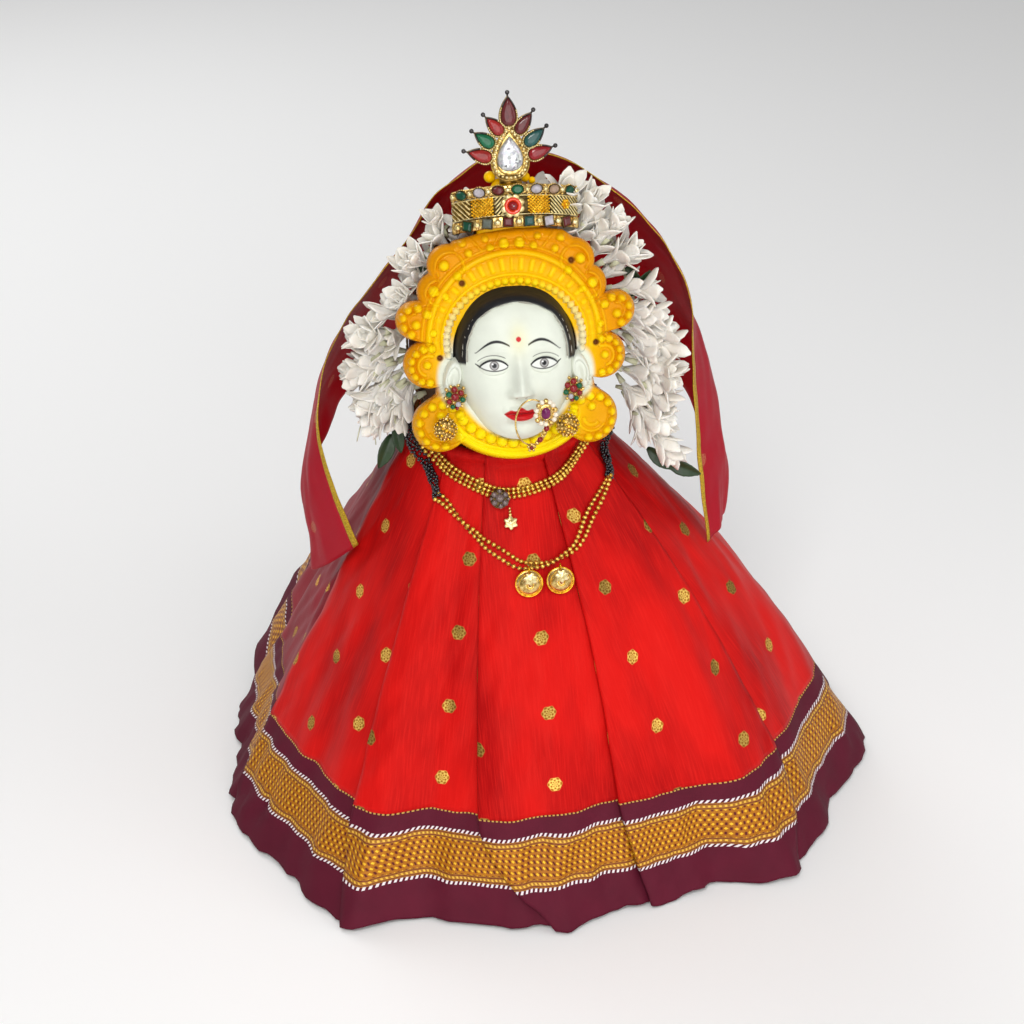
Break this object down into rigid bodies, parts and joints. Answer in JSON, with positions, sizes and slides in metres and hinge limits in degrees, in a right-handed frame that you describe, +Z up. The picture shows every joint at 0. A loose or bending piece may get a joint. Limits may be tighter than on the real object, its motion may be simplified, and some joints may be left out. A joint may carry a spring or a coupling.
{
  "type": "dressed festival figure",
  "caption": "Festival figure: a metal pot in a pleated silk skirt, with a coconut head that wears a painted mask, jewelled crown, flower garland, veil, nose ring and bead necklaces.",
  "frame": {"origin": "centre of the pot's foot, on the surface that the figure stands on", "axes": "+Z up out of the pot's mouth, -Y the way the face looks, +X to the viewer's right when facing the figure"},
  "size_m": [0.3267, 0.3089, 0.3606],
  "materials": {
    "pot_brass": "polished",
    "coir": "fibrous, matte",
    "maroon_cloth": "plain weave",
    "red_silk": "satin",
    "border_cloth": "maroon with woven gold brocade",
    "gold_beads": "polished beads",
    "black_beads": "glossy",
    "grey_stone": "cut stone",
    "gilt": "gilt",
    "yellow_paint": "glossy paint",
    "red_stone": "cut stone",
    "green_stone": "cut stone",
    "clear_stone": "cut stone",
    "purple_stone": "cut stone",
    "silver_stone": "silver glitter",
    "petals": "soft petals",
    "leaf": "waxy leaf",
    "veil_cloth": "satin",
    "zari": "woven gold edging"
  },
  "bodies": {
    "pot": {"pot": "pot_brass", "waistband": "maroon_cloth", "skirt_panels": "red_silk", "skirt_border": "border_cloth", "choker_strand": "gold_beads", "choker_clasp": "grey_stone", "black_bead_strand": "black_beads", "gold_bead_strand": "gold_beads"},
    "head": {"coconut": "coir", "flower_garland": "petals", "garland_leaf_left": "leaf", "garland_leaf_right": "leaf", "veil": "veil_cloth", "veil_zari_edge": "zari"},
    "mask": {"mask_shell": "yellow_paint", "ear_stud_left": "red_stone", "ear_stud_right": "red_stone"},
    "crown": {"crown_lower_rail": "gilt", "crown_mesh": "gilt", "crown_upper_rail": "gilt", "crown_flower": "gilt", "crown_flower_stone": "red_stone", "plume_plate": "gilt", "teardrop_stone": "silver_stone", "lower_stone_1": "green_stone", "lower_stone_2": "clear_stone", "lower_stone_3": "red_stone", "lower_stone_4": "green_stone", "lower_stone_5": "clear_stone", "lower_stone_6": "red_stone", "upper_stone_1": "green_stone", "upper_stone_2": "clear_stone", "upper_stone_3": "red_stone", "upper_stone_4": "green_stone", "upper_stone_5": "clear_stone", "upper_stone_6": "red_stone", "upper_stone_7": "green_stone", "petal_stone_top": "red_stone", "petal_stone_left_1": "red_stone", "petal_stone_right_1": "red_stone", "petal_stone_left_2": "green_stone", "petal_stone_right_2": "green_stone", "petal_stone_left_3": "red_stone", "petal_stone_right_3": "red_stone"},
    "nath": {"nath_wire": "gilt", "nath_flower": "purple_stone", "nath_bead_tail": "gold_beads"},
    "left_ear_drop": {"ear_drop_left": "gilt"},
    "right_ear_drop": {"ear_drop_right": "gilt"},
    "choker_drop": {"choker_drop": "gilt"},
    "left_vati": {"vati_left_cup": "gilt", "vati_left_flower": "gilt"},
    "right_vati": {"vati_right_cup": "gilt", "vati_right_flower": "gilt"}
  },
  "joints": [
    {"name": "head_lift", "type": "slide", "parent": "pot", "child": "head", "axis": [0, 0, 1], "range_m": [0, 0.09]},
    {"name": "mask_off", "type": "slide", "parent": "head", "child": "mask", "axis": [0, -0.9563, 0.2924], "range_m": [0, 0.05]},
    {"name": "crown_off", "type": "slide", "parent": "mask", "child": "crown", "axis": [0, 0, 1], "range_m": [0, 0.04]},
    {"name": "nath_swing", "type": "hinge", "parent": "mask", "child": "nath", "pos_m": [0.005, -0.0735, 0.2365], "axis": [-1, 0, 0], "range_deg": [-10, 70]},
    {"name": "left_ear_drop_swing", "type": "hinge", "parent": "mask", "child": "left_ear_drop", "pos_m": [-0.031, -0.06068, 0.22644], "axis": [-1, 0, 0], "range_deg": [0, 65]},
    {"name": "right_ear_drop_swing", "type": "hinge", "parent": "mask", "child": "right_ear_drop", "pos_m": [0.02444, -0.06063, 0.22663], "axis": [-1, 0, 0], "range_deg": [0, 65]},
    {"name": "choker_drop_swing", "type": "hinge", "parent": "pot", "child": "choker_drop", "pos_m": [-0.0035, -0.0589, 0.1728], "axis": [-1, 0, 0], "range_deg": [0, 60]},
    {"name": "left_vati_swing", "type": "hinge", "parent": "pot", "child": "left_vati", "pos_m": [0.003, -0.0783, 0.1502], "axis": [-1, 0, 0], "range_deg": [0, 60]},
    {"name": "right_vati_swing", "type": "hinge", "parent": "pot", "child": "right_vati", "pos_m": [0.0182, -0.0759, 0.1492], "axis": [-1, 0, 0], "range_deg": [0, 60]}
  ]
}
